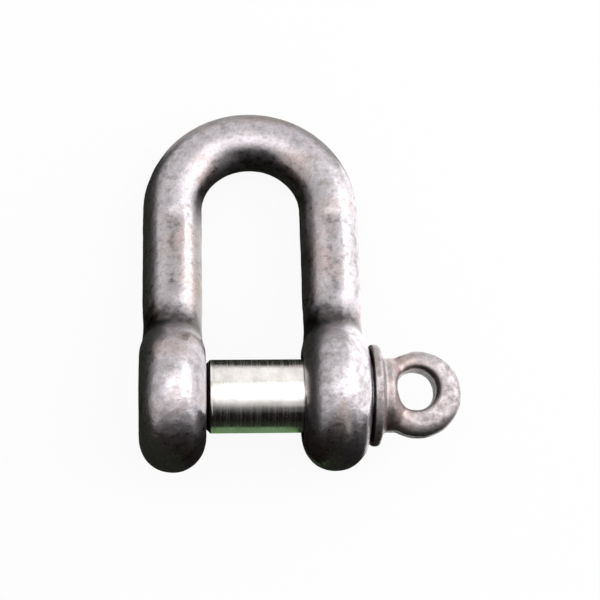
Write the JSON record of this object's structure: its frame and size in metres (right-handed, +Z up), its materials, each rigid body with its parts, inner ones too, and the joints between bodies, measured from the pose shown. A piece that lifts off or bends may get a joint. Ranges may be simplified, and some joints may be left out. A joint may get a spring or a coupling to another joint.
{
  "type": "shackle",
  "caption": "Forged D shackle with a screw pin: a round bar bent into a bow with round ears, closed by a pin with a collar and a flattened eye.",
  "frame": {"origin": "on the pin's axis, halfway between the two ears; the part lies on its ears and the crown of its bow, 25 mm below", "axes": "+X along the pin towards its eye, +Y along the legs towards the crown, which lies lower, +Z up"},
  "size_m": [0.1068, 0.1278, 0.05],
  "materials": {
    "forged_bow": "hot-dip galvanised forging",
    "turned_pin": "galvanised forging with a turned shank"
  },
  "bodies": {
    "bow": {"bow": "forged_bow"},
    "pin": {"screw_pin": "turned_pin"}
  },
  "joints": [
    {"name": "pin_withdrawal", "type": "slide", "parent": "bow", "child": "pin", "axis": [1, 0, 0], "range_m": [0, 0.1]}
  ]
}
